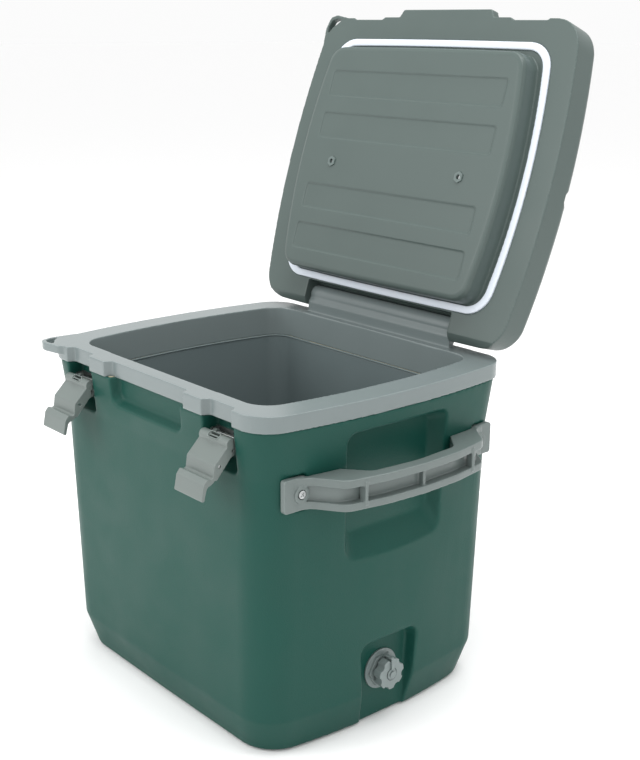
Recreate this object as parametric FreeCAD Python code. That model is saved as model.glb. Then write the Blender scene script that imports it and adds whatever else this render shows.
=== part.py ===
"""Hard-sided cooler with a hinged lid, two over-centre latches, two bail handles and a screw-cap drain.

Millimetres. X is the width, the latches face -Y, the hinge is at +Y, and Z is up.
The origin is on the floor under the middle of the body. The lid is stored open, with the latches hanging.
"""
import FreeCAD
import Part
import math
import os

from FreeCAD import Vector

# ---- driving sizes ----
WIDTH = 450.0                 # rim, across the middle of the bowed sides
DEPTH = 365.2                 # rim, front to back
RIM_TOP = 396.0
RIM_HEIGHT = 18.0
SIDE_BOW = 17.0               # how far the middle of each side stands out past its ends
FRONT_BOW = 1.4
RIM_CORNER = 39.0
BODY_CORNER = 46.0
FOOT_HEIGHT = 2.5
WALL = 4.0                    # rotomoulded skin
LINER_WALL = 3.0

RIM_BOTTOM = RIM_TOP - RIM_HEIGHT
# height, half width, half depth of the outer skin, from the bottom edge up to the rim
BODY_LEVELS = [
    (FOOT_HEIGHT, 200.2, 160.8),
    (44.0, 210.8, 172.0),
    (322.0, 219.3, 176.1),
    (RIM_BOTTOM, 224.8, 181.6),
]

OPENING_Y = 1.0               # middle of the opening, which sits forward of the hinge
OPENING = (190.0, 155.5, 30.0)        # half width, half depth, corner radius at the rim's top
BEAD_Z = 359.0                # foot of the collar's glossy skirt
LINER_TOP = (184.5, 150.0, 27.0)
LINER_BOTTOM = (168.0, 138.0, 24.0)
LINER_FLOOR = 46.0
LINER_BOW = 14.0
LIP = (189.0, 154.5, 31.0)    # tub's top lip: half width, half depth, corner radius

FINGER_HALF = 79.5            # middle notch in the rim, over the finger recess
NOTCH_DEPTH = 9.5
LATCH_X = 137.85              # middle of each latch
LATCH_GAP = 26.25             # half width of the latch notch and recess

HINGE_Y = 181.8
HINGE_Z = 417.9
HINGE_HALF = 130.0            # half length of the fixed barrel
HINGE_GAP = 0.8
EAR_END = 150.0
BLOCK_FRONT = 15.3            # from the hinge axis forward to the fixed block's face
NECK_BACK = 8.0               # from the hinge axis forward to the back of the block's neck
BLOCK_REACH = 28.9            # radius that the block's foot sweeps, as the lid sees it
NECK_REACH = 24.3             # the same for the back of its neck
HOOD_R = 21.3                 # rounding of the lid's back edge about the hinge axis
BARREL_R = 11.5
PIN_R = 3.0
RUNNING = 0.05                # radial clearance round a pin

LID_ANGLE = 108.0             # how far the stored lid is open
LID_BOTTOM = 398.0
LID_TOP = 440.0
LID_Y = 5.85
LID_HALF_WIDTH = 228.9
LID_HALF_DEPTH = 194.15
PLUG_BOTTOM = 372.5
GASKET_OUTER = (196.0, 161.8, 36.0)
GASKET_Y = 2.5
GASKET_WIDTH = 9.0
NUT_X = 112.8
STRAP_Y = 10.2                # cross groove, with the tie-down screws in it

HANDLE_Z = 309.0
HANDLE_SCREW_Y = 132.0
DRAIN_Y = -1.0
DRAIN_Z = 60.0
DRAIN_X = 196.5               # floor of the drain channel
LOOP = [(-168.0, -128.0), (-211.0, -128.0), (-216.5, -140.0), (-219.5, -172.0), (-214.5, -187.5),
        (-203.0, -191.0), (-176.0, -186.5), (-168.0, -180.0)]      # padlock loop on the front left corner
LOOP_RADII = [0, 0, 30, 12, 9, 12, 10, 0]
SLOT = [(-214.5, -163.5), (-215.0, -174.5), (-210.5, -183.5), (-200.5, -186.3), (-190.5, -184.6),
        (-196.0, -180.6), (-206.0, -174.0)]
SLOT_RADII = [1.5, 7, 6, 6, 1.5, 8, 8]

# ---- helpers ----
def rounded(points, radii, place):
    """Closed wire through flat points, each corner rounded by its own radius, set in space by place(u, v)."""
    if not isinstance(radii, (list, tuple)):
        radii = [radii] * len(points)
    starts, ends, middles = [], [], []
    for i, (px, py) in enumerate(points):
        ax, ay = points[i - 1]
        bx, by = points[(i + 1) % len(points)]
        la, lb = math.hypot(ax - px, ay - py), math.hypot(bx - px, by - py)
        ua, ub = ((ax - px) / la, (ay - py) / la), ((bx - px) / lb, (by - py) / lb)
        half = math.acos(max(-1.0, min(1.0, ua[0] * ub[0] + ua[1] * ub[1]))) / 2
        r = radii[i]
        reach = r / math.tan(half) if r > 0 else 0.0
        starts.append((px + ua[0] * reach, py + ua[1] * reach))
        ends.append((px + ub[0] * reach, py + ub[1] * reach))
        bis = (ua[0] + ub[0], ua[1] + ub[1])
        size = math.hypot(*bis) or 1.0
        step = r / math.sin(half) - r if r > 0 else 0.0
        middles.append((px + bis[0] / size * step, py + bis[1] / size * step))
    edges = []
    for i in range(len(points)):
        if radii[i] > 0:
            edges.append(Part.Arc(place(*starts[i]), place(*middles[i]), place(*ends[i])).toShape())
        a, b = place(*ends[i]), place(*starts[(i + 1) % len(points)])
        if (b - a).Length > 1e-6:
            edges.append(Part.LineSegment(a, b).toShape())
    return Part.Wire(edges)


def at_x(x):
    return lambda u, v: Vector(x, u, v)


def at_y(y):
    return lambda u, v: Vector(u, y, v)


def at_z(z):
    return lambda u, v: Vector(u, v, z)


def prism(points, radii, place, along):
    """Solid: a rounded outline swept along a vector."""
    return Part.Face(rounded(points, radii, place)).extrude(Vector(*along))


def rectangle(u0, u1, v0, v1):
    return [(u0, v0), (u1, v0), (u1, v1), (u0, v1)]


def skin(wires):
    return Part.makeLoft(wires, True, True)


def outline(z, half_x, half_y, corner, bow=SIDE_BOW, front=FRONT_BOW, mid_y=0.0):
    """Rounded rectangle whose four sides are shallow arcs, bowed out at their middles."""
    end_x, end_y = half_x - bow, half_y - front
    side_r = (end_y ** 2 + bow ** 2) / (2 * bow)
    front_r = (end_x ** 2 + front ** 2) / (2 * front)
    side_c, front_c = half_x - side_r, half_y - front_r
    # centre of the corner arc, tangent inside both shallow arcs
    ra, rb = side_r - corner, front_r - corner
    ax, ay, bx, by = side_c, 0.0, 0.0, front_c
    gap = math.hypot(bx - ax, by - ay)
    along = (ra ** 2 - rb ** 2 + gap ** 2) / (2 * gap)
    off = math.sqrt(max(ra ** 2 - along ** 2, 0.0))
    ux, uy = (bx - ax) / gap, (by - ay) / gap
    picks = [(ax + ux * along - uy * off * s, ay + uy * along + ux * off * s) for s in (1, -1)]
    cx, cy = max(picks, key=lambda p: p[0] + p[1])
    d1 = math.hypot(cx - ax, cy - ay)
    t1 = (cx + (cx - ax) / d1 * corner, cy + (cy - ay) / d1 * corner)
    d2 = math.hypot(cx - bx, cy - by)
    t2 = (cx + (cx - bx) / d2 * corner, cy + (cy - by) / d2 * corner)
    mid = ((t1[0] - cx) + (t2[0] - cx), (t1[1] - cy) + (t2[1] - cy))
    size = math.hypot(*mid)
    tm = (cx + mid[0] / size * corner, cy + mid[1] / size * corner)

    def v(x, y):
        return Vector(x, y + mid_y, z)

    arcs = [
        (v(t1[0], -t1[1]), v(half_x, 0), v(*t1)),
        (v(*t1), v(*tm), v(*t2)),
        (v(*t2), v(0, half_y), v(-t2[0], t2[1])),
        (v(-t2[0], t2[1]), v(-tm[0], tm[1]), v(-t1[0], t1[1])),
        (v(-t1[0], t1[1]), v(-half_x, 0), v(-t1[0], -t1[1])),
        (v(-t1[0], -t1[1]), v(-tm[0], -tm[1]), v(-t2[0], -t2[1])),
        (v(-t2[0], -t2[1]), v(0, -half_y), v(t2[0], -t2[1])),
        (v(t2[0], -t2[1]), v(tm[0], -tm[1]), v(t1[0], -t1[1])),
    ]
    return Part.Wire([Part.Arc(*a).toShape() for a in arcs])


def cylinder(r, length, start, direction):
    return Part.makeCylinder(r, length, Vector(*start), Vector(*direction))


def ring(r_out, r_in, length, start, direction):
    return cylinder(r_out, length, start, direction).cut(cylinder(r_in, length, start, direction))


def box(x0, x1, y0, y1, z0, z1):
    return Part.makeBox(x1 - x0, y1 - y0, z1 - z0, Vector(x0, y0, z0))


def join(shapes):
    whole = shapes[0].fuse(shapes[1:]) if len(shapes) > 1 else shapes[0]
    return whole.removeSplitter()


def mirrored(shape):
    return shape.mirror(Vector(0, 0, 0), Vector(1, 0, 0))


def both_sides(shape):
    return Part.makeCompound([shape, mirrored(shape)])


def opened(shape):
    """Turns a piece of the lid from its closed place to its stored, open place."""
    turned = shape.copy()
    turned.rotate(Vector(0, HINGE_Y, HINGE_Z), Vector(1, 0, 0), -LID_ANGLE)
    return turned


def pocket(wall, floor, outer, inner, radius, place, grow=0.0):
    """Cutter for a recess with sloping walls. outer and inner are (u0, u1, v0, v1) at its wall and floor."""
    beyond = wall + (wall - floor)
    wide = [2 * o - i for o, i in zip(outer, inner)]
    deep = floor - grow if wall > floor else floor + grow

    def level(at, rect):
        u0, u1, v0, v1 = rect[0] - grow, rect[1] + grow, rect[2] - grow, rect[3] + grow
        return rounded(rectangle(u0, u1, v0, v1), radius, place(at))

    return skin([level(beyond, wide), level(deep, inner)])


# ---- body ----
def finger_recess(grow=0.0):
    half = 70.0
    outer, inner = (-half, half, 345.0, 420.0), (-half + 4, half - 4, 353.0, 420.0)
    return pocket(-180.0, -168.5, outer, inner, 12.0, at_y, grow)


def latch_recess(grow=0.0):
    x0, x1 = LATCH_X - LATCH_GAP, LATCH_X + LATCH_GAP
    outer, inner = (x0, x1, 322.0, 420.0), (x0 + 1, x1 - 1, 336.0, 420.0)
    return pocket(-180.0, -161.0, outer, inner, 5.0, at_y, grow)


def hand_recess(grow=0.0):
    outer, inner = (-74.0, 74.0, 207.0, 361.0), (-62.0, 62.0, 242.0, 356.0)
    return pocket(219.0, 199.0, outer, inner, 13.0, at_x, grow)


def drain_channel(grow=0.0):
    """Channel round the drain, a little narrower at the bottom edge of the body than at its top."""
    def level(x, top_half, low_half, top):
        points = [(-top_half - grow, top + grow), (top_half + grow, top + grow),
                  (low_half + grow, -20.0), (-low_half - grow, -20.0)]
        return rounded(points, [12, 12, 0, 0], at_x(x))
    return skin([level(230.0, 49.0, 40.0, 113.0), level(DRAIN_X - grow, 40.0, 31.0, 101.0)])


def handle_seats(grow=0.0):
    """Shallow flats that take the base plates of both handles."""
    half, low, high = 16.0 + grow, 289.0 - grow, 329.0 + grow
    plates = [box(206.0 - grow, 240.0, s * 139.0 - half, s * 139.0 + half, low, high) for s in (-1, 1)]
    return plates + [mirrored(plate) for plate in plates]


def body_skin(inset):
    """Outer form of the body, pulled in by inset, with every recess."""
    wires = []
    for z, half_x, half_y in BODY_LEVELS:
        low = inset if z == FOOT_HEIGHT else 0.0
        wires.append(outline(z + low, half_x - inset, half_y - inset, BODY_CORNER - inset))
    solid = skin(wires)
    sides = [hand_recess(inset), drain_channel(inset)]
    fronts = [latch_recess(inset), mirrored(latch_recess(inset)), finger_recess(inset)]
    return solid.cut(sides + [mirrored(hand_recess(inset))] + fronts + handle_seats(inset))


DRAIN_HOLE_R = 9.0


def drain_bore(radius):
    return cylinder(radius, 60.0, (150.0, DRAIN_Y, DRAIN_Z), (1, 0, 0))


def outer_shell():
    shell = body_skin(0.0).cut(body_skin(WALL))
    return shell.cut([drain_bore(DRAIN_HOLE_R)] + screw_holes())


def liner_form(grow):
    top_x, top_y, top_r = LINER_TOP
    low_x, low_y, low_r = LINER_BOTTOM
    bows = (LINER_BOW, FRONT_BOW, OPENING_Y)
    return skin([
        outline(LINER_FLOOR - grow, low_x + grow, low_y + grow, low_r + grow, *bows),
        outline(BEAD_Z, top_x + grow, top_y + grow, top_r + grow, *bows),
    ])


def liner_lip():
    """Lip on top of the tub, that the collar's skirt stands on."""
    x, y, r = LIP
    return skin([outline(z, x, y, r, LINER_BOW, FRONT_BOW, OPENING_Y) for z in (BEAD_Z - 3.0, BEAD_Z)])


def inner_liner():
    tub = liner_form(LINER_WALL).fuse(liner_lip()).cut(liner_form(0.0))
    return tub.cut(drain_bore(DRAIN_HOLE_R))


def opening_form(grow, z0=BEAD_Z, z1=RIM_TOP):
    x, y, r = OPENING
    return skin([
        outline(z0, x + grow - 2.0, y + grow - 2.0, r + grow, LINER_BOW, FRONT_BOW, OPENING_Y),
        outline(z1, x + grow, y + grow, r + grow, LINER_BOW, FRONT_BOW, OPENING_Y),
    ])


def rim_notch(x0, x1, depth, front):
    """Cutter for one notch in a front edge, with sloping ends and soft corners."""
    slope = 5.0
    face = -front
    points = [(x0 - slope, face - 20.0), (x0, face), (x0 + slope, face + depth),
              (x1 - slope, face + depth), (x1, face), (x1 + slope, face - 20.0)]
    return prism(points, [0, 3, 3, 3, 3, 0], at_z(300.0), (0, 0, 200.0))


def corner_loop(z0, z1):
    """Loop that stands out from the front left corner, in the rim and again in the lid."""
    return prism(LOOP, LOOP_RADII, at_z(z0), (0, 0, z1 - z0))


def padlock_slot():
    """Crescent slot between the loop and the corner, for a padlock's shackle."""
    return prism(SLOT, SLOT_RADII, at_z(360.0), (0, 0, 120.0))


def hinge_barrel():
    """Fixed middle of the hinge: a block on the back of the rim, rounded over its bore."""
    y, z = HINGE_Y, HINGE_Z
    profile = [(y - BLOCK_FRONT, RIM_TOP - 4), (y - BLOCK_FRONT, z - 8), (y - 9, z + 2), (y, z),
               (y - 4.0, z - 10.5), (y - NECK_BACK, RIM_TOP), (y - NECK_BACK, RIM_TOP - 4)]
    block = prism(profile, [0, 6, 3, 0, 0, 0, 0], at_x(-HINGE_HALF), (2 * HINGE_HALF, 0, 0))
    return block.fuse(cylinder(BARREL_R, 2 * HINGE_HALF, (-HINGE_HALF, y, z), (1, 0, 0)))


def rim_collar():
    half_x, half_y = WIDTH / 2, DEPTH / 2
    band = skin([outline(z, half_x, half_y, RIM_CORNER) for z in (RIM_BOTTOM, RIM_TOP)])
    skirt = opening_form(LINER_WALL)
    notches = [rim_notch(-FINGER_HALF, FINGER_HALF, NOTCH_DEPTH, half_y)]
    for middle in (-LATCH_X, LATCH_X):
        notches.append(rim_notch(middle - LATCH_GAP, middle + LATCH_GAP, NOTCH_DEPTH, half_y))
    solid = band.cut(notches).fuse([skirt, corner_loop(RIM_TOP - 10.0, RIM_TOP), hinge_barrel()])
    hollow = rim_hollow()
    pin = cylinder(PIN_R + RUNNING, 400.0, (-200.0, HINGE_Y, HINGE_Z), (1, 0, 0))
    cuts = [opening_form(0.0, BEAD_Z - 1.0, RIM_TOP + 1.0), hollow, padlock_slot(), pin]
    return solid.cut(cuts).removeSplitter()


def rim_hollow():
    """Space under the rim's top wall, which the foam fills."""
    outer = skin([outline(z, 221.0, 169.5, 30.0) for z in (RIM_BOTTOM, RIM_TOP - WALL)])
    return outer.cut(opening_form(LINER_WALL, BEAD_Z, RIM_TOP))


def body_foam():
    """Foam between the skin and the liner, in one casting with the foam under the rim."""
    space = body_skin(WALL).fuse(rim_hollow())
    filled = space.cut([liner_form(LINER_WALL), liner_lip(), opening_form(LINER_WALL, BEAD_Z, RIM_TOP)])
    return biggest(filled.cut([drain_bore(DRAIN_HOLE_R)] + screw_holes()))


def biggest(shape):
    return max(shape.Solids, key=lambda s: s.Volume)


def feet():
    """Four corner feet, and one under the middle that keeps the loaded base from sagging."""
    places = [(sx * 166.0, sy * 130.0) for sx in (-1, 1) for sy in (-1, 1)] + [(0.0, 0.0)]
    pads = [cylinder(13.0, FOOT_HEIGHT, (x, y, 0.0), (0, 0, 1)) for x, y in places]
    return Part.makeCompound(pads)


def hinge_pin():
    return cylinder(PIN_R, 2 * EAR_END - 4.0, (-EAR_END + 2.0, HINGE_Y, HINGE_Z), (1, 0, 0))


# ---- handles ----
HANDLE_OUTER = [(214.0, -137.0), (217.5, -123.0), (250.0, -101.0), (259.0, -52.0), (262.0, 0.0)]
HANDLE_INNER = [(248.0, 0.0), (243.0, -60.0), (214.0, -84.0), (206.0, -86.0), (206.0, -137.0)]


def handle_web(z0, z1, trim):
    """Slab of the handle's plan form between two heights, with its outer face pulled in by trim."""
    half = [(max(x - trim, 211.0), y) for x, y in HANDLE_OUTER]
    far = [(x, -y) for x, y in reversed(half[:-1])]
    inner_far = [(x, -y) for x, y in reversed(HANDLE_INNER[1:])]
    radii = [0, 16, 20, 90, 120, 90, 20, 16, 0] + [0, 0, 4, 16, 120, 16, 4, 0, 0]
    return prism(half + far + inner_far + HANDLE_INNER, radii, at_z(z0), (0, 0, z1 - z0))


def handle_right():
    low, high = HANDLE_Z - 17.0, HANDLE_Z + 17.0
    rails = [handle_web(low, low + 8.0, 0.0), handle_web(high - 9.0, high, 0.0)]
    web = handle_web(low + 4.0, high - 4.0, 10.5)
    ribs = []
    for y in (-79.0, 0.0, 79.0):
        ribs.append(box(246.0, 258.5 - abs(y) * 0.04, y - 2.0, y + 2.0, low + 4.0, high - 4.0))
    plates = []
    for side in (-1, 1):
        middle = side * 139.0
        rect = rectangle(middle - 14.0, middle + 14.0, HANDLE_Z - 18.0, HANDLE_Z + 18.0)
        plates.append(prism(rect, 3.0, at_x(206.0), (7.0, 0, 0)))
        plates.append(cylinder(9.6, 10.0, (206.0, side * HANDLE_SCREW_Y, HANDLE_Z), (1, 0, 0)))
    solid = join(rails + [web] + ribs + plates)
    holes = []
    for side in (-1, 1):
        holes.append(cylinder(2.6, 30.0, (200.0, side * HANDLE_SCREW_Y, HANDLE_Z), (1, 0, 0)))
        holes.append(cylinder(5.2, 10.0, (213.5, side * HANDLE_SCREW_Y, HANDLE_Z), (1, 0, 0)))
    return solid.cut(holes + [wall_clearance()])


def wall_clearance():
    """Keeps the handle's middle outside the body's bowed wall, which its plates are let into."""
    wires = [outline(z, half_x + 0.3, half_y + 0.3, BODY_CORNER) for z, half_x, half_y in BODY_LEVELS[1:]]
    return skin(wires).common(box(190.0, 230.0, -123.0, 123.0, 270.0, 350.0))


def screw(start, direction, head_r, head_h, shank_r, length):
    d = Vector(*direction)
    head = cylinder(head_r, head_h, start, direction)
    shank = cylinder(shank_r, length, start, tuple(-d))
    cross = Vector(*start) + d * (head_h - 1.2)
    slots = []
    for turn in (0, 90):
        bar = box(-3.0, 3.0, -0.6, 0.6, 0.0, 2.0)
        bar.rotate(Vector(0, 0, 0), Vector(0, 0, 1), turn + 45)
        bar.Placement = FreeCAD.Placement(cross, FreeCAD.Rotation(Vector(0, 0, 1), d)).multiply(bar.Placement)
        slots.append(bar)
    return join([head, shank]).cut(slots)


def screw_holes():
    """Holes in the skin and the foam for the handle screws' threaded ends."""
    corners = [(s, t) for s in (-1, 1) for t in (-1, 1)]
    return [cylinder(2.2, 32.0, (s * 184.0, t * HANDLE_SCREW_Y, HANDLE_Z), (s, 0, 0)) for s, t in corners]


def handle_screws():
    right = [screw((213.5, t * HANDLE_SCREW_Y, HANDLE_Z), (1, 0, 0), 4.4, 2.4, 2.2, 24.0) for t in (-1, 1)]
    return Part.makeCompound(right + [mirrored(s) for s in right])


# ---- drain ----
CAP_START = DRAIN_X + 9.5     # back face of the cap
CAP_LENGTH = 11.0
CAP_R = 18.5


def hexagon_points(u, v, reach, turn=0):
    angles = [math.radians(60 * i + turn) for i in range(6)]
    return [(u + reach * math.cos(a), v + reach * math.sin(a)) for a in angles]


def drain_spout():
    """Flange against the channel's floor, hexagon collar and the tube that the cap screws on to."""
    start = (DRAIN_X, DRAIN_Y, DRAIN_Z)
    flange = cylinder(24.0, 2.6, start, (1, 0, 0))
    hexagon = prism(hexagon_points(DRAIN_Y, DRAIN_Z, 20.5), 1.5, at_x(DRAIN_X + 2.6), (3.4, 0, 0))
    neck = cylinder(8.6, 11.5, start, (1, 0, 0))
    tube = cylinder(8.6, DRAIN_X - 156.0, (156.0, DRAIN_Y, DRAIN_Z), (1, 0, 0))
    return join([flange, hexagon, neck, tube]).cut(cylinder(6.0, 60.0, (150.0, DRAIN_Y, DRAIN_Z), (1, 0, 0)))


def drain_nut():
    """Round nut that pulls the spout up against the liner, inside the tub."""
    return ring(13.5, 8.6, 5.0, (160.2, DRAIN_Y, DRAIN_Z), (1, 0, 0))


def drain_washer():
    return ring(13.8, 8.6, 1.6, (165.2, DRAIN_Y, DRAIN_Z), (1, 0, 0))


def cap_seal():
    return ring(8.2, 4.0, 1.2, (CAP_START + 2.1, DRAIN_Y, DRAIN_Z), (1, 0, 0))


def drain_cap():
    """Fluted cap, open at the back over the spout's neck, with a button on its face for the tether."""
    body = cylinder(CAP_R, CAP_LENGTH, (CAP_START, DRAIN_Y, DRAIN_Z), (1, 0, 0))
    flutes = []
    for i in range(7):
        a = math.radians(90 + 360 / 7 * i)
        start = (CAP_START - 1, DRAIN_Y + 21.2 * math.cos(a), DRAIN_Z + 21.2 * math.sin(a))
        flutes.append(cylinder(5.6, CAP_LENGTH + 2, start, (1, 0, 0)))
    face = CAP_START + CAP_LENGTH
    button = cylinder(2.6, 3.8, (face - 1.5, DRAIN_Y, DRAIN_Z), (1, 0, 0))
    knob = cylinder(3.7, 1.4, (face + 0.9, DRAIN_Y, DRAIN_Z), (1, 0, 0))
    well = cylinder(7.6, 2.0, (face - 1.5, DRAIN_Y, DRAIN_Z), (1, 0, 0))
    socket = cylinder(9.0, 4.5, (CAP_START - 1.2, DRAIN_Y, DRAIN_Z), (1, 0, 0))
    return join([body.cut(flutes + [well, socket]), button, knob])


def cap_tether():
    """Moulded strap from a loop behind the cap, over its top, to a ring on the cap's button."""
    face = CAP_START + CAP_LENGTH
    loop = ring(12.5, 9.4, 2.0, (CAP_START - 3.2, DRAIN_Y, DRAIN_Z), (1, 0, 0))
    eye = ring(6.6, 2.9, 1.6, (face - 1.0, DRAIN_Y, DRAIN_Z), (1, 0, 0))
    top = DRAIN_Z + CAP_R + 2.5
    near, far = CAP_START - 3.2, face + 2.2
    path = [(near, DRAIN_Z + 10.5), (near, top), (far, top), (far, DRAIN_Z + 6.5),
            (face + 0.6, DRAIN_Z + 4.2)]
    back = [(face - 1.0, DRAIN_Z + 4.2), (face - 0.8, DRAIN_Z + 5.2), (face + 0.6, DRAIN_Z + 6.4),
            (face + 0.6, top - 1.8), (near + 1.8, top - 1.8), (near + 1.8, DRAIN_Z + 10.5)]
    strap = prism(path + back, [0, 3, 3, 1, 0, 0, 0.5, 1, 1.2, 1.2, 0], at_y(DRAIN_Y - 2.2), (0, 4.4, 0))
    return join([loop, strap, eye])


# ---- lid ----
LIP_TOP = 401.0
LIP_DEPTH = 3.3               # notch in the lip itself
SEAT_DEPTH = 5.7              # deeper notch above it, that takes the head
SEAT_HALF = 30.5              # half width of the notch that takes a latch head
CATCH_BACK = -180.0           # back of the solid wall behind each latch seat


def lid_outline(z, inset):
    half_x, half_y, corner = LID_HALF_WIDTH - inset, LID_HALF_DEPTH - inset, RIM_CORNER - min(inset, 20.0)
    return outline(z, half_x, half_y, corner, 17.4, 2.0, LID_Y)


def lid_form(inset, bottom, top):
    shoulder = 9.0
    return skin([lid_outline(bottom, inset), lid_outline(top - shoulder, inset + 1.5),
                 lid_outline(top - 2.5, inset + 5.0), lid_outline(top, inset + 12.0)])


def hinge_clearance(grow=0.0):
    """Room for the fixed barrel, and for the block under it as the lid swings back over it."""
    half = HINGE_HALF + HINGE_GAP + grow
    front, reach, low_reach = BLOCK_FRONT + 0.8 + grow, BLOCK_REACH + grow, NECK_REACH + grow
    points = [(HINGE_Y, HINGE_Z), (HINGE_Y - 11.0 - grow, HINGE_Z + 2.0), (HINGE_Y - front, HINGE_Z - 5.0),
              (HINGE_Y - front, HINGE_Z - 30.0)]
    sweep = [(a, reach, 0.0) for a in range(250, 341, 15)]
    sweep += [(343, reach, 0.0), (344, low_reach, grow), (361.5, low_reach, grow)]
    for degrees, radius, lift in sweep:
        a = math.radians(degrees)
        points.append((HINGE_Y + radius * math.cos(a), HINGE_Z + radius * math.sin(a) + lift))
    swept = prism(points, 0, at_x(-half), (2 * half, 0, 0))
    return swept.fuse(cylinder(BARREL_R + 0.8 + grow, 2 * half, (-half, HINGE_Y, HINGE_Z), (1, 0, 0)))


def back_rounding(grow=0.0):
    """What the lid's lower back edge loses, so that it turns clear of the rim."""
    corner = box(-260.0, 260.0, HINGE_Y, HINGE_Y + 60.0, HINGE_Z - 60.0, HINGE_Z)
    return corner.cut(cylinder(HOOD_R - grow, 520.0, (-260.0, HINGE_Y, HINGE_Z), (1, 0, 0)))


def strap_groove(grow=0.0):
    deep = LID_TOP - 9.0 - grow
    points = [(STRAP_Y - 5.5 - grow, deep), (STRAP_Y + 5.5 + grow, deep),
              (STRAP_Y + 12.5 + grow, LID_TOP + 5), (STRAP_Y - 12.5 - grow, LID_TOP + 5)]
    return prism(points, 0, at_x(-260.0), (520.0, 0, 0))


def catch_notches():
    """Notches in the lid's front for the latch heads, each above a low lip that the head holds down."""
    cuts = []
    for side in (-1, 1):
        x0, x1 = side * LATCH_X - SEAT_HALF, side * LATCH_X + SEAT_HALF
        seat = rim_notch(x0, x1, SEAT_DEPTH, LID_HALF_DEPTH - LID_Y)
        cuts.append(seat.common(box(-260.0, 260.0, -260.0, 0.0, LIP_TOP, 432.0)))
        shallow = rim_notch(x0, x1, LIP_DEPTH, LID_HALF_DEPTH - LID_Y)
        cuts.append(shallow.common(box(-260.0, 260.0, -260.0, 0.0, LID_BOTTOM - 5.0, LIP_TOP)))
    return cuts


def ear_barrels():
    """Moving ends of the hinge, round the pin, moulded with the lid's back corners."""
    ears = []
    length = EAR_END - HINGE_HALF - HINGE_GAP
    for start in (HINGE_HALF + HINGE_GAP, -EAR_END):
        ears.append(cylinder(BARREL_R + 2.5, length, (start, HINGE_Y, HINGE_Z), (1, 0, 0)))
    return ears


def lid_void():
    """Foam space in the lid, clear of the groove, the latch seats and the hinge."""
    space = lid_form(WALL, LID_BOTTOM + WALL, LID_TOP - WALL)
    ears = [cylinder(BARREL_R + 2.5, 30.0, (s * 140.4 - 15.0, HINGE_Y, HINGE_Z), (1, 0, 0)) for s in (-1, 1)]
    keep = [hinge_clearance(WALL), strap_groove(WALL), back_rounding(WALL)]
    for x in (-LATCH_X, LATCH_X):
        keep.append(box(x - 30.0, x + 30.0, -200.0, CATCH_BACK, LID_BOTTOM, 436.0))
    return biggest(space.cut(keep + ears))


def lid_mouth(z0, z1):
    x, y, r = GASKET_OUTER
    wires = [outline(z, x, y, r, 15.5, FRONT_BOW, GASKET_Y) for z in (z0, z1)]
    return skin(wires)


def lid_shell():
    form = lid_form(0.0, LID_BOTTOM, LID_TOP)
    front = LID_HALF_DEPTH - LID_Y
    tab = prism([(-82.0, -front + 3), (-75.3, -front - 9.5), (75.3, -front - 9.5), (82.0, -front + 3)],
                [0, 4, 4, 0], at_z(LID_BOTTOM), (0, 0, 12.0))
    loop = corner_loop(LID_BOTTOM, LID_BOTTOM + 10.0)
    solid = form.cut([hinge_clearance()]).fuse([tab, loop] + ear_barrels())
    bore = cylinder(PIN_R + RUNNING, 400.0, (-200.0, HINGE_Y, HINGE_Z), (1, 0, 0))
    cuts = catch_notches() + [strap_groove(), padlock_slot(), bore, back_rounding()]
    mouth = lid_mouth(LID_BOTTOM - 1, LID_BOTTOM + WALL)
    return biggest(solid.cut(cuts + [lid_void(), mouth] + bolt_holes()))


def bolt_holes():
    return [cylinder(3.0, 80.0, (s * NUT_X, STRAP_Y, 360.0), (0, 0, 1)) for s in (-1, 1)]


def plug_outline(z, inset):
    return outline(z, 179.0 - inset, 148.2 - inset, 24.0 - min(inset, 12.0), 15.0, FRONT_BOW, 5.3)


def plug_form(inset, bottom):
    rounded_edge = [(bottom + 6.0, inset), (bottom + 1.5, inset + 1.8), (bottom, inset + 6.0)]
    return skin([plug_outline(z, pulled) for z, pulled in [(LID_BOTTOM + WALL, inset - 1.2)] + rounded_edge])


PANELS = [(-109.2, -74.9), (-53.4, -19.2), (41.5, 74.1), (94.1, 128.7)]      # recessed panels, front to back


def lid_inner_panel():
    """Inner skin of the lid: flange inside the gasket, and the plug that drops into the opening."""
    flange = lid_mouth(LID_BOTTOM, LID_BOTTOM + WALL)
    solid = flange.fuse(plug_form(0.0, PLUG_BOTTOM))
    hollow = plug_form(LINER_WALL, PLUG_BOTTOM + LINER_WALL).fuse(
        skin([plug_outline(z, -1.0) for z in (LID_BOTTOM + WALL - 1, LID_BOTTOM + WALL)]))
    panels = []
    for y0, y1 in PANELS:
        panels.append(prism(rectangle(-150.9, 150.9, y0, y1), 5.0, at_z(PLUG_BOTTOM - 1), (0, 0, 2.4)))
    groove = gasket_ring(RIM_TOP - 1.0, LID_BOTTOM + 2.5)
    return biggest(solid.cut([hollow, groove, hinge_clearance()] + panels + bolt_holes()))


def gasket_ring(z0, z1):
    x, y, r = GASKET_OUTER
    x, y, r = x - GASKET_WIDTH, y - GASKET_WIDTH, r - GASKET_WIDTH
    return lid_mouth(z0, z1).cut(skin([outline(z, x, y, r, 15.5, FRONT_BOW, GASKET_Y) for z in (z0, z1)]))


def lid_gasket():
    return gasket_ring(RIM_TOP + 0.2, LID_BOTTOM + 2.5)


def lid_foam():
    plug = plug_form(LINER_WALL, PLUG_BOTTOM + LINER_WALL)
    return biggest(lid_void().fuse(plug).removeSplitter().cut(bolt_holes()))


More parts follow.
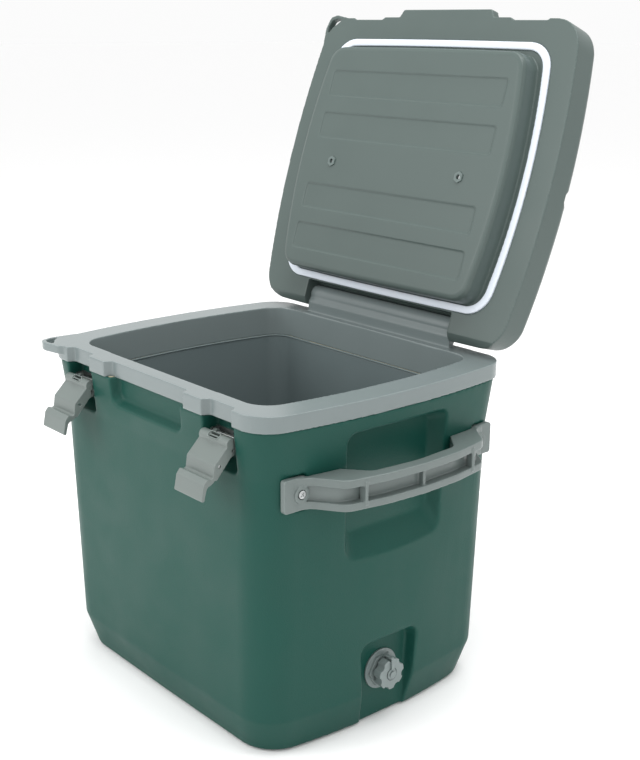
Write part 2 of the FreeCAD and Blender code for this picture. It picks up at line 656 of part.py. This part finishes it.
def lid_nuts():
    """Hexagon nuts on the plug's face, with the tie-down bolts' blind holes showing."""
    nuts = []
    for side in (-1, 1):
        nut = prism(hexagon_points(side * NUT_X, STRAP_Y, 7.0, 30), 0, at_z(PLUG_BOTTOM - 1.6), (0, 0, 1.6))
        nuts.append(nut.cut(cylinder(3.0, 4.0, (side * NUT_X, STRAP_Y, PLUG_BOTTOM - 2.0), (0, 0, 1))))
    return Part.makeCompound(nuts)


def tie_downs():
    """Low anchor plates bolted into the cross groove, to guide a luggage strap."""
    cleats = []
    floor = LID_TOP - 9.0
    for side in (-1, 1):
        x = side * NUT_X
        profile = [(x - 17, floor), (x - 17, floor + 3), (x - 7, floor + 3), (x - 7, floor + 5),
                   (x + 7, floor + 5), (x + 7, floor + 3), (x + 17, floor + 3), (x + 17, floor)]
        cleat = prism(profile, 0, at_y(STRAP_Y - 5.0), (0, 10.0, 0))
        cleats.append(cleat.cut(cylinder(3.0, 20.0, (x, STRAP_Y, floor - 5.0), (0, 0, 1))))
    return Part.makeCompound(cleats)


def tie_bolts():
    bolts = []
    for side in (-1, 1):
        x, under_head, end = side * NUT_X, LID_TOP - 4.0, PLUG_BOTTOM + 1.0
        head = cylinder(5.0, 2.6, (x, STRAP_Y, under_head), (0, 0, 1))
        shank = cylinder(3.0, under_head - end, (x, STRAP_Y, end), (0, 0, 1))
        socket = prism(hexagon_points(x, STRAP_Y, 2.6), 0, at_z(LID_TOP - 3.2), (0, 0, 3.0))
        bolts.append(join([head, shank]).cut(socket))
    return Part.makeCompound(bolts)


# ---- latches: made at +X, and mirrored for the other ----
LEVER_HALF = 24.2
BARREL = (-180.5, 359.5)      # y, z of the lever's rounded head, hanging open
HEAD_R = 6.0
HEAD_BACK = -178.0            # flat back of the head
LEVER_PIN = (-195.4, 338.8)
BASE_PIN = (-168.65, 360.4)
LATCH_PIN_R = 1.75
BRACKET_FACE = -163.2
BRACKET_SCREW_Z = 351.0


def on_latch(y, z):
    return Vector(LATCH_X, y, z)


def across(half):
    """Places a (y, z) outline at one end of a piece that is 2 * half wide, centred on the latch."""
    return lambda u, v: Vector(LATCH_X - half, u, v)


def latch_lever():
    """Moulded lever: round head with a window, channel-shaped plate, and a pull tab that stands off."""
    plate = [(-181.7, 355.4), (-184.8, 357.7), (-201.9, 341.2), (-203.9, 328.2), (-206.4, 326.9),
             (-211.2, 328.6), (-215.6, 323.4), (-219.0, 306.4), (-215.4, 305.2), (-211.6, 319.6),
             (-206.5, 321.6), (-201.9, 324.4), (-200.0, 339.6)]
    radii = [0, 0, 4, 1, 1.2, 1.6, 5, 1.6, 1.6, 5, 2, 3, 2.5]
    panel = prism(plate, radii, across(LEVER_HALF), (2 * LEVER_HALF, 0, 0))
    side = [(-180.5, 356.0), (-186.0, 357.0), (-201.6, 341.2), (-203.2, 327.6), (-200.2, 323.6),
            (-179.5, 347.5)]
    flanges = []
    for x in (LATCH_X - LEVER_HALF, LATCH_X + LEVER_HALF - 2.8):
        flanges.append(prism(side, [0, 0, 4, 1, 2, 3], lambda u, v, x=x: Vector(x, u, v), (2.8, 0, 0)))
    head = cylinder(HEAD_R, 2 * LEVER_HALF, tuple(on_latch(*BARREL) - Vector(LEVER_HALF, 0, 0)), (1, 0, 0))
    head = head.common(box(LATCH_X - 30.0, LATCH_X + 30.0, -200.0, HEAD_BACK, 340.0, 380.0))
    window = []
    out = Vector(0, -0.62, 0.785)
    for shift in (-2.0, 2.0):
        middle = on_latch(*BARREL) + Vector(0, 0.785, 0.62) * shift
        slot = box(-7.5, 7.5, -1.1, 1.1, 0.0, 12.0)
        slot.Placement = FreeCAD.Placement(middle, FreeCAD.Rotation(Vector(0, 0, 1), out))
        window.append(slot)
    pin = cylinder(LATCH_PIN_R, 60.0, (LATCH_X - 30.0, *LEVER_PIN), (1, 0, 0))
    frame_out = on_latch(*BARREL) + out * 5.0

    def on_head(u, v):
        return frame_out + Vector(u, 0.785 * v, 0.62 * v)

    raised = prism(rectangle(-10.0, 10.0, -4.0, 4.0), 3.9, on_head, out * 1.7)
    well = prism(rectangle(-8.6, 8.6, -3.1, 3.1), 3.0, on_head, out * 3.0)
    return join([panel] + flanges + [head, raised]).cut(window + [well, pin])


def latch_lever_pin():
    """Pin that stops short of the lever's sides, so that its ends sit in their holes."""
    half = LEVER_HALF - 1.4
    return cylinder(LATCH_PIN_R, 2 * half, (LATCH_X - half, *LEVER_PIN), (1, 0, 0))


def latch_link():
    """Bent pair of arms, joined by a bar, from the base pin to the lever's pin."""
    bend = (-176.0, 346.6)
    arms = []
    for x in (-LEVER_HALF + 3.3, LEVER_HALF - 9.3):
        for pivot in (LEVER_PIN, BASE_PIN):
            arms.append(cylinder(3.2, 6.0, (LATCH_X + x, *pivot), (1, 0, 0)))
        for a, b in ((LEVER_PIN, bend), (bend, BASE_PIN)):
            arms.append(bar_between(a, b, 1.8, LATCH_X + x, 6.0))
        arms.append(cylinder(1.8, 6.0, (LATCH_X + x, *bend), (1, 0, 0)))
    tie = cylinder(1.8, 2 * LEVER_HALF - 6.6, (LATCH_X - LEVER_HALF + 3.3, bend[0], bend[1]), (1, 0, 0))
    holes = []
    for pivot in (LEVER_PIN, BASE_PIN):
        holes.append(cylinder(LATCH_PIN_R + RUNNING, 60.0, (LATCH_X - 30.0, *pivot), (1, 0, 0)))
    return join(arms + [tie]).cut(holes)


def bar_between(a, b, half, x, width):
    dy, dz = b[0] - a[0], b[1] - a[1]
    size = math.hypot(dy, dz)
    ny, nz = -dz / size * half, dy / size * half
    points = [(a[0] + ny, a[1] + nz), (b[0] + ny, b[1] + nz), (b[0] - ny, b[1] - nz), (a[0] - ny, a[1] - nz)]
    return prism(points, 0, lambda u, v: Vector(x, u, v), (width, 0, 0))


def latch_bracket():
    """Folded bracket on the recess floor, whose two lugs hold the base pin."""
    half = LATCH_GAP - 1.4
    plate = box(LATCH_X - half, LATCH_X + half, BRACKET_FACE, -161.0, 345.0, 365.0)
    lugs = []
    y, z = BASE_PIN
    for x in (LATCH_X - half, LATCH_X + half - 2.4):
        lugs.append(cylinder(3.8, 2.4, (x, y, z), (1, 0, 0)))
        lugs.append(box(x, x + 2.4, y, -161.0, z - 3.8, z + 3.8))
    pin = cylinder(LATCH_PIN_R, 60.0, (LATCH_X - 30.0, y, z), (1, 0, 0))
    holes = [cylinder(2.1, 10.0, (LATCH_X + s * 12.0, -166.0, BRACKET_SCREW_Z), (0, 1, 0)) for s in (-1, 1)]
    return join([plate] + lugs).cut([pin] + holes)


def latch_base_pin():
    half = LATCH_GAP - 1.0
    return cylinder(LATCH_PIN_R, 2 * half, (LATCH_X - half, *BASE_PIN), (1, 0, 0))


def bracket_screws():
    made = []
    for shift in (-12.0, 12.0):
        made.append(screw((LATCH_X + shift, BRACKET_FACE, BRACKET_SCREW_Z), (0, -1, 0), 3.6, 1.6, 2.1, 2.2))
    return Part.makeCompound(made + [mirrored(m) for m in made])


# ---- export ----
NODES = {
    "outer_shell": outer_shell,
    "body_foam": body_foam,
    "inner_liner": inner_liner,
    "rim_collar": rim_collar,
    "hinge_pin": hinge_pin,
    "feet": feet,
    "handle_right": handle_right,
    "handle_left": lambda: mirrored(handle_right()),
    "handle_screws": handle_screws,
    "drain_spout": drain_spout,
    "drain_nut": drain_nut,
    "drain_washer": drain_washer,
    "cap_seal": cap_seal,
    "drain_cap": drain_cap,
    "cap_tether": cap_tether,
    "lid_shell": lambda: opened(lid_shell()),
    "lid_inner_panel": lambda: opened(lid_inner_panel()),
    "lid_foam": lambda: opened(lid_foam()),
    "lid_gasket": lambda: opened(lid_gasket()),
    "lid_nuts": lambda: opened(lid_nuts()),
    "tie_downs": lambda: opened(tie_downs()),
    "tie_down_bolts": lambda: opened(tie_bolts()),
    "latch_lever_right": latch_lever,
    "latch_lever_left": lambda: mirrored(latch_lever()),
    "latch_lever_pin_right": latch_lever_pin,
    "latch_lever_pin_left": lambda: mirrored(latch_lever_pin()),
    "latch_link_right": latch_link,
    "latch_link_left": lambda: mirrored(latch_link()),
    "latch_bracket_right": latch_bracket,
    "latch_bracket_left": lambda: mirrored(latch_bracket()),
    "latch_base_pins": lambda: both_sides(latch_base_pin()),
    "latch_bracket_screws": bracket_screws,
}

os.makedirs("parts", exist_ok=True)
for node, make in NODES.items():
    shape = make()
    litres = shape.Volume / 1e6
    print(f"{node:24s} solids {len(shape.Solids)} valid {shape.isValid()} litres {litres:8.4f}")
    shape.exportStep(f"parts/{node}.step")
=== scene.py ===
"""A hard-sided cooler with its lid open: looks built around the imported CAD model, in metres."""

import math

import bmesh
import bpy
from mathutils import Matrix, Vector


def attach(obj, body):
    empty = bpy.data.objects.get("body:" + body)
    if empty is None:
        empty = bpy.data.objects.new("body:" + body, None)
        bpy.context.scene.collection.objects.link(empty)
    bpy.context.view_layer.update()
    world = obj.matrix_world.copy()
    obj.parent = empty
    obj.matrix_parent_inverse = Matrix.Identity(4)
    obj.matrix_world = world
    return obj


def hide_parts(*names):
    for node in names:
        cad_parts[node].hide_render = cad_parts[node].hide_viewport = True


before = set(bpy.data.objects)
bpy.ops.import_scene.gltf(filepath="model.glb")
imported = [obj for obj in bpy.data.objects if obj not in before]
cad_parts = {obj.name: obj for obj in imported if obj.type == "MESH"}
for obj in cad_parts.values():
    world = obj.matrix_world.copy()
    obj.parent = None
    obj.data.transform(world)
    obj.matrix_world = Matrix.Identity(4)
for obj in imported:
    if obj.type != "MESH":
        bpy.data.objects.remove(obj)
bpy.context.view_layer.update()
MM = 0.001


# ---- Body shell ----
# One green polyethylene moulding with a leather-grained skin. The mould leaves every edge soft, so the
# CAD shape is given an even skin of small faces and smoothed. Its raised edges are painted paler, a painted
# highlight.
SHELL_GREEN = "#0d4239"
SHELL_EDGE_HIGHLIGHT = "#275a50"
SHELL_GRAIN = 1.5 * MM
SHELL_RELIEF = 0.14 * MM


def linear(code):
    """sRGB hex to the linear colour that the nodes take."""
    channels = [int(code[i:i + 2], 16) / 255 for i in (1, 3, 5)]
    return [c / 12.92 if c <= 0.04045 else ((c + 0.055) / 1.055) ** 2.4 for c in channels] + [1.0]


def add(material, kind, inputs=None, **settings):
    """Adds a node. Each input is a value or another node's output, by the socket's name or number."""
    made = material.node_tree.nodes.new("ShaderNode" + kind)
    for name, value in settings.items():
        setattr(made, name, value)
    for key, value in (inputs or {}).items():
        if isinstance(value, bpy.types.NodeSocket):
            material.node_tree.links.new(value, made.inputs[key])
        else:
            made.inputs[key].default_value = value
    return made


def moulded(name, colour, edge_highlight_colour, roughness, grain, depth,
            gloss_spread=0.06, drift=0.06, ior=1.5, specular=0.5):
    """Moulded plastic or rubber: grain from the mould, a slow drift of colour, and a painted highlight on
    raised edges.
    """
    material = bpy.data.materials.new(name)
    material.use_nodes = True
    material.node_tree.nodes.clear()
    place = add(material, "TexCoord").outputs["Object"]
    patch = 55 * MM
    slow = add(material, "TexNoise", {"Vector": place, "Scale": 1 / patch, "Detail": 4.0}).outputs["Fac"]
    dark = [c * (1 - drift) for c in linear(colour)[:3]] + [1.0]
    light = [min(1.0, c * (1 + drift)) for c in linear(colour)[:3]] + [1.0]
    base = add(material, "MixRGB", {"Fac": slow, "Color1": dark, "Color2": light}).outputs["Color"]
    # Convex edges, found by pointiness, are mixed towards a paler colour: a painted highlight.
    edge = add(material, "MapRange", {"Value": add(material, "NewGeometry").outputs["Pointiness"],
                                      "From Min": 0.515, "From Max": 0.60, "To Max": 0.55}).outputs["Result"]
    with_edge_highlight = add(material, "MixRGB", {"Fac": edge, "Color1": base, "Color2": linear(edge_highlight_colour)}).outputs["Color"]
    fine = add(material, "TexNoise", {"Vector": place, "Scale": 1 / grain, "Detail": 2.0}).outputs["Fac"]
    cells = add(material, "TexVoronoi", {"Vector": place, "Scale": 1 / grain}, feature="SMOOTH_F1")
    relief = add(material, "Math", {0: fine, 1: cells.outputs["Distance"]}, operation="ADD").outputs[0]
    bump = add(material, "Bump", {"Height": relief, "Distance": depth, "Strength": 0.8}).outputs["Normal"]
    gloss = add(material, "MapRange", {"Value": slow, "From Min": 0.3, "From Max": 0.7,
                                       "To Min": roughness - gloss_spread,
                                       "To Max": roughness + gloss_spread}).outputs["Result"]
    shader = add(material, "BsdfPrincipled", {"Base Color": with_edge_highlight, "Roughness": gloss, "Normal": bump,
                                              "IOR": ior, "Specular IOR Level": specular})
    add(material, "OutputMaterial", {"Surface": shader.outputs[0]})
    return material


def softened(node, body, voxel, passes, material):
    """Stands in for a CAD node: the same shape in an even skin of quads, with its edges smoothed."""
    piece = bpy.data.objects.new(node + "_moulding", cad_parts[node].data.copy())
    bpy.context.collection.objects.link(piece)
    piece.data.materials.clear()
    piece.data.materials.append(material)
    skin = piece.modifiers.new("even skin", "REMESH")
    skin.mode = "VOXEL"
    skin.voxel_size = voxel
    skin.use_smooth_shade = True
    soft = piece.modifiers.new("soft edges", "SMOOTH")
    soft.factor = 0.5
    soft.iterations = passes
    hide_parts(node)
    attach(piece, body)


green = moulded("green_polyethylene", SHELL_GREEN, SHELL_EDGE_HIGHLIGHT, 0.46, SHELL_GRAIN, SHELL_RELIEF, specular=0.24)
softened("outer_shell", "root", 1.4 * MM, 10, green)


# ---- Foam ----
# Rigid polyurethane, cast between the skins of the body and of the lid. It is closed in, matt, and cream
# with fine cells.
FOAM_CREAM = "#cfc6a8"
# Its raised edges get a paler cream, a painted highlight.
FOAM_EDGE_HIGHLIGHT = "#d8d0b6"
foam = moulded("polyurethane_foam", FOAM_CREAM, FOAM_EDGE_HIGHLIGHT, 0.85, 0.8 * MM, 0.2 * MM)
for node in ("body_foam", "lid_foam"):
    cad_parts[node].data.materials.clear()
    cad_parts[node].data.materials.append(foam)


# ---- Tub ----
# The inner tub is moulded in dark grey polyethylene with a matt, finely grained face. It hangs by its lip
# inside the foam.
TUB_GREY = "#616d6e"
# Its raised edges get a paler grey, a painted highlight.
TUB_EDGE_HIGHLIGHT = "#717d7c"
tub = moulded("tub_polyethylene", TUB_GREY, TUB_EDGE_HIGHLIGHT, 0.55, 1.2 * MM, 0.06 * MM, specular=0.3)
softened("inner_liner", "root", 1.6 * MM, 4, tub)


# ---- Joint bead ----
# Where the tub meets the collar's skirt, the two are welded by a thin bead of the tub's own plastic. It runs
# all the way round, just under the glossy skirt.
BEAD_RADIUS = 1.1 * MM


def inner_top_loop(node):
    """Points round the inner edge of a hollow node's flat top, in order."""
    skin = bmesh.new()
    skin.from_mesh(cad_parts[node].data)
    bmesh.ops.remove_doubles(skin, verts=skin.verts, dist=0.01 * MM)
    loop = set()
    for edge in skin.edges:
        flat = [face for face in edge.link_faces if face.normal.z > 0.99]
        walls = [face for face in edge.link_faces if abs(face.normal.z) < 0.3]
        if len(flat) == 1 and len(walls) == 1:
            middle = (edge.verts[0].co + edge.verts[1].co) / 2
            if walls[0].normal.x * middle.x + walls[0].normal.y * middle.y < 0:
                loop.update(tuple(vert.co) for vert in edge.verts)
    skin.free()
    top = max(point[2] for point in loop)
    level = [point for point in loop if point[2] > top - 0.1 * MM]
    return sorted(level, key=lambda point: math.atan2(point[1], point[0]))


bead_line = bpy.data.curves.new("joint_bead", "CURVE")
bead_line.dimensions = "3D"
bead_line.bevel_depth = BEAD_RADIUS
bead_line.bevel_resolution = 3
bead_points = inner_top_loop("inner_liner")
spline = bead_line.splines.new("POLY")
spline.points.add(len(bead_points) - 1)
for bead_point, place in zip(spline.points, bead_points):
    bead_point.co = (*place, 1.0)
spline.use_cyclic_u = True
bead = bpy.data.objects.new("joint_bead", bead_line)
bpy.context.collection.objects.link(bead)
bead_line.materials.append(tub)
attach(bead, "root")


# ---- Rim ----
# A collar of injection-moulded polypropylene caps the wall, with the hinge's fixed barrel moulded on. It is
# smooth enough to show soft reflections.
RIM_GREY = "#6f7979"
# Its raised edges get a paler grey, a painted highlight.
RIM_EDGE_HIGHLIGHT = "#929d9d"
rim = moulded("rim_polypropylene", RIM_GREY, RIM_EDGE_HIGHLIGHT, 0.22, 0.7 * MM, 0.006 * MM,
              gloss_spread=0.04, drift=0.03)
softened("rim_collar", "root", 0.9 * MM, 2, rim)


# ---- Hinge pin, screws and latch pins ----
# Turned and folded stainless steel with a fine brushed finish, whose streaks run along X, the pins' length.
# The latch brackets are of the same steel.
STEEL_GREY = "#b9bcbc"
STEEL_SHADE = "#a9acac"
STEEL_STREAK = 1.2 * MM


def turned_steel():
    """Stainless steel whose colour, gloss and relief all follow one streaked noise."""
    material = bpy.data.materials.new("stainless_steel")
    material.use_nodes = True
    material.node_tree.nodes.clear()
    place = add(material, "TexCoord").outputs["Object"]
    stretch = add(material, "Mapping", {"Vector": place, "Scale": (1.0, 14.0, 14.0)}).outputs["Vector"]
    streaks = add(material, "TexNoise", {"Vector": stretch, "Scale": 1 / STEEL_STREAK, "Detail": 3.0})
    brushed = streaks.outputs["Fac"]
    gloss = add(material, "MapRange", {"Value": brushed, "To Min": 0.18, "To Max": 0.38}).outputs["Result"]
    bump = add(material, "Bump", {"Height": brushed, "Distance": 0.01 * MM, "Strength": 0.5})
    tone = add(material, "MixRGB", {"Fac": brushed, "Color1": linear(STEEL_SHADE),
                                    "Color2": linear(STEEL_GREY)})
    shader = add(material, "BsdfPrincipled", {"Base Color": tone.outputs["Color"], "Roughness": gloss,
                                              "Normal": bump.outputs["Normal"], "Metallic": 1.0})
    add(material, "OutputMaterial", {"Surface": shader.outputs[0]})
    return material


def finish_node(node, material, bevel):
    """Keeps a CAD node as it is, in its real material, with its sharp edges broken."""
    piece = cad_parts[node]
    piece.data.materials.clear()
    piece.data.materials.append(material)
    edge = piece.modifiers.new("broken edges", "BEVEL")
    edge.width = bevel
    edge.segments = 2
    edge.limit_method = "ANGLE"
    edge.angle_limit = math.radians(40)
    edge.harden_normals = True


steel = turned_steel()
for node in ("hinge_pin", "handle_screws", "latch_base_pins", "latch_lever_pin_right",
             "latch_lever_pin_left", "latch_bracket_screws", "tie_down_bolts", "latch_bracket_right",
             "latch_bracket_left"):
    finish_node(node, steel, 0.25 * MM)


# ---- Feet, washer and seal ----
# Black moulded nitrile rubber, matt, with a painted highlight that makes its edges a little paler. The feet
# stand under the base, and the washer and seal sit in the drain.
RUBBER_BLACK = "#26282a"
RUBBER_EDGE_HIGHLIGHT = "#3a3c3d"
rubber = moulded("nitrile_rubber", RUBBER_BLACK, RUBBER_EDGE_HIGHLIGHT, 0.7, 0.6 * MM, 0.03 * MM)
for node in ("feet", "drain_washer", "cap_seal"):
    finish_node(node, rubber, 0.3 * MM)


# ---- Handles ----
# Fixed bail handles in glass-filled polypropylene, satin from the mould, with a painted highlight on their
# edges. Each is held by a steel screw at either end.
HANDLE_GREY = "#616b69"
HANDLE_EDGE_HIGHLIGHT = "#848f8d"
grip = moulded("handle_polypropylene", HANDLE_GREY, HANDLE_EDGE_HIGHLIGHT, 0.33, 0.8 * MM, 0.012 * MM)
for side in ("right", "left"):
    softened("handle_" + side, "root", 0.8 * MM, 3, grip)


# ---- Drain ----
# Spout, nut, cap and tether are moulded in softer grey polyethylene. The cap screws on the spout's neck, and
# the tether holds it when it is off.
DRAIN_GREY = "#727d7c"
# Their raised edges get a paler grey, a painted highlight.
DRAIN_EDGE_HIGHLIGHT = "#8d9897"
drain = moulded("drain_polyethylene", DRAIN_GREY, DRAIN_EDGE_HIGHLIGHT, 0.34, 0.6 * MM, 0.01 * MM)
for node, body in (("drain_spout", "root"), ("drain_nut", "root"),
                   ("drain_cap", "cap"), ("cap_tether", "cap_carrier")):
    softened(node, body, 0.4 * MM, 2, drain)


# ---- Lid ----
# Two grey polypropylene mouldings, a shell and an inner panel, with foam between them and a fine satin skin.
# Nuts of the same plastic close the bolts of the two tie-down anchors, which are in the handles' plastic.
LID_GREY = "#4e5a57"
# Its raised edges get a paler grey, a painted highlight.
LID_EDGE_HIGHLIGHT = "#6c7876"
lid = moulded("lid_polypropylene", LID_GREY, LID_EDGE_HIGHLIGHT, 0.38, 1.0 * MM, 0.02 * MM, drift=0.03, specular=0.3)
softened("lid_shell", "lid", 1.1 * MM, 4, lid)
softened("lid_inner_panel", "lid", 1.0 * MM, 2, lid)
finish_node("lid_nuts", lid, 0.3 * MM)
finish_node("tie_downs", grip, 0.4 * MM)


# ---- Gasket ----
# A bulb of pale silicone, pressed into the lid's groove. Its edges are soft and round, with a slightly
# waxy gloss.
SILICONE_LILAC = "#d3dae3"
# Its raised edges get a paler tint, a painted highlight.
SILICONE_EDGE_HIGHLIGHT = "#e4e9ee"
silicone = moulded("silicone", SILICONE_LILAC, SILICONE_EDGE_HIGHLIGHT, 0.45, 1.0 * MM, 0.01 * MM, drift=0.02, ior=1.43)
softened("lid_gasket", "lid", 0.8 * MM, 14, silicone)


# ---- Latches ----
# Acetal levers and links on stainless pins, satin from the mould. The levers hang open from their links,
# in front of the body's recesses.
LATCH_GREY = "#656e6b"
# Their raised edges get a paler grey, a painted highlight.
LATCH_EDGE_HIGHLIGHT = "#8a9492"
latch = moulded("latch_acetal", LATCH_GREY, LATCH_EDGE_HIGHLIGHT, 0.33, 0.7 * MM, 0.008 * MM)
for side in ("right", "left"):
    softened("latch_lever_" + side, "lever_" + side, 0.45 * MM, 2, latch)
    softened("latch_link_" + side, "link_" + side, 0.45 * MM, 2, latch)


# ---- Stage ----
# A wide floor of matt white paper under a white sky, so that no edge of it shows behind the cooler. Three
# soft boxes light it from the front, from above and from the right.
def plain(name, colour, roughness):
    """One even colour, for what isn't part of the cooler."""
    material = bpy.data.materials.new(name)
    material.use_nodes = True
    shader = material.node_tree.nodes["Principled BSDF"]
    shader.inputs["Base Color"].default_value = linear(colour)
    shader.inputs["Roughness"].default_value = roughness
    return material


FLOOR_HALF = 40.0
corners = [(x, y, 0) for x, y in ((-1, -1), (1, -1), (1, 1), (-1, 1))]
floor_mesh = bpy.data.meshes.new("floor")
floor_mesh.from_pydata([Vector(corner) * FLOOR_HALF for corner in corners], [], [(0, 1, 2, 3)])
floor = bpy.data.objects.new("floor", floor_mesh)
bpy.context.collection.objects.link(floor)
floor.data.materials.append(plain("floor_paper", "#ffffff", 0.9))

world = bpy.data.worlds.new("studio")
bpy.context.scene.world = world
world.use_nodes = True
world.node_tree.nodes["Background"].inputs["Color"].default_value = linear("#ffffff")
world.node_tree.nodes["Background"].inputs["Strength"].default_value = 0.97


def softbox(name, place, aim, size, watts):
    """Rectangular area light at a place, turned towards a point on the cooler."""
    lamp = bpy.data.lights.new(name, "AREA")
    lamp.shape = "RECTANGLE"
    lamp.size, lamp.size_y = size
    lamp.energy = watts
    made = bpy.data.objects.new(name, lamp)
    bpy.context.collection.objects.link(made)
    made.location = place
    made.rotation_euler = (Vector(aim) - Vector(place)).to_track_quat("-Z", "Y").to_euler()


softbox("key", (-1.0, -2.3, 1.5), (0, 0, 0.3), (1.6, 1.6), 32.0)
softbox("top", (0.3, 0.2, 2.6), (0, 0, 0.3), (1.8, 1.8), 45.0)
softbox("side_fill", (2.6, -0.6, 1.1), (0, 0, 0.3), (1.2, 1.6), 8.0)


# ---- Camera ----
# It stands to the front right, a little above the rim, and looks slightly down at the middle of the cooler
# with its lid open.
AZIMUTH, ELEVATION, ROLL = math.radians(49.6), math.radians(16.0), math.radians(0.2)
DISTANCE = 1.53675
AIM = Vector((0.0, 0.067275, 0.34594))
flat = math.cos(ELEVATION)
back = Vector((math.sin(AZIMUTH) * flat, -math.cos(AZIMUTH) * flat, math.sin(ELEVATION)))
level = Vector((math.cos(AZIMUTH), math.sin(AZIMUTH), 0.0))
upright = back.cross(level)
right = level * math.cos(ROLL) + upright * math.sin(ROLL)
up = upright * math.cos(ROLL) - level * math.sin(ROLL)
lens = bpy.data.cameras.new("camera")
lens.sensor_width = 36.0
lens.lens = 59.17
lens.shift_x = 0.0071
camera = bpy.data.objects.new("camera", lens)
bpy.context.collection.objects.link(camera)
camera.matrix_world = Matrix((
    (right.x, up.x, back.x, AIM.x + back.x * DISTANCE),
    (right.y, up.y, back.y, AIM.y + back.y * DISTANCE),
    (right.z, up.z, back.z, AIM.z + back.z * DISTANCE),
    (0, 0, 0, 1)))
bpy.context.scene.camera = camera
bpy.context.scene.view_settings.view_transform = "Standard"
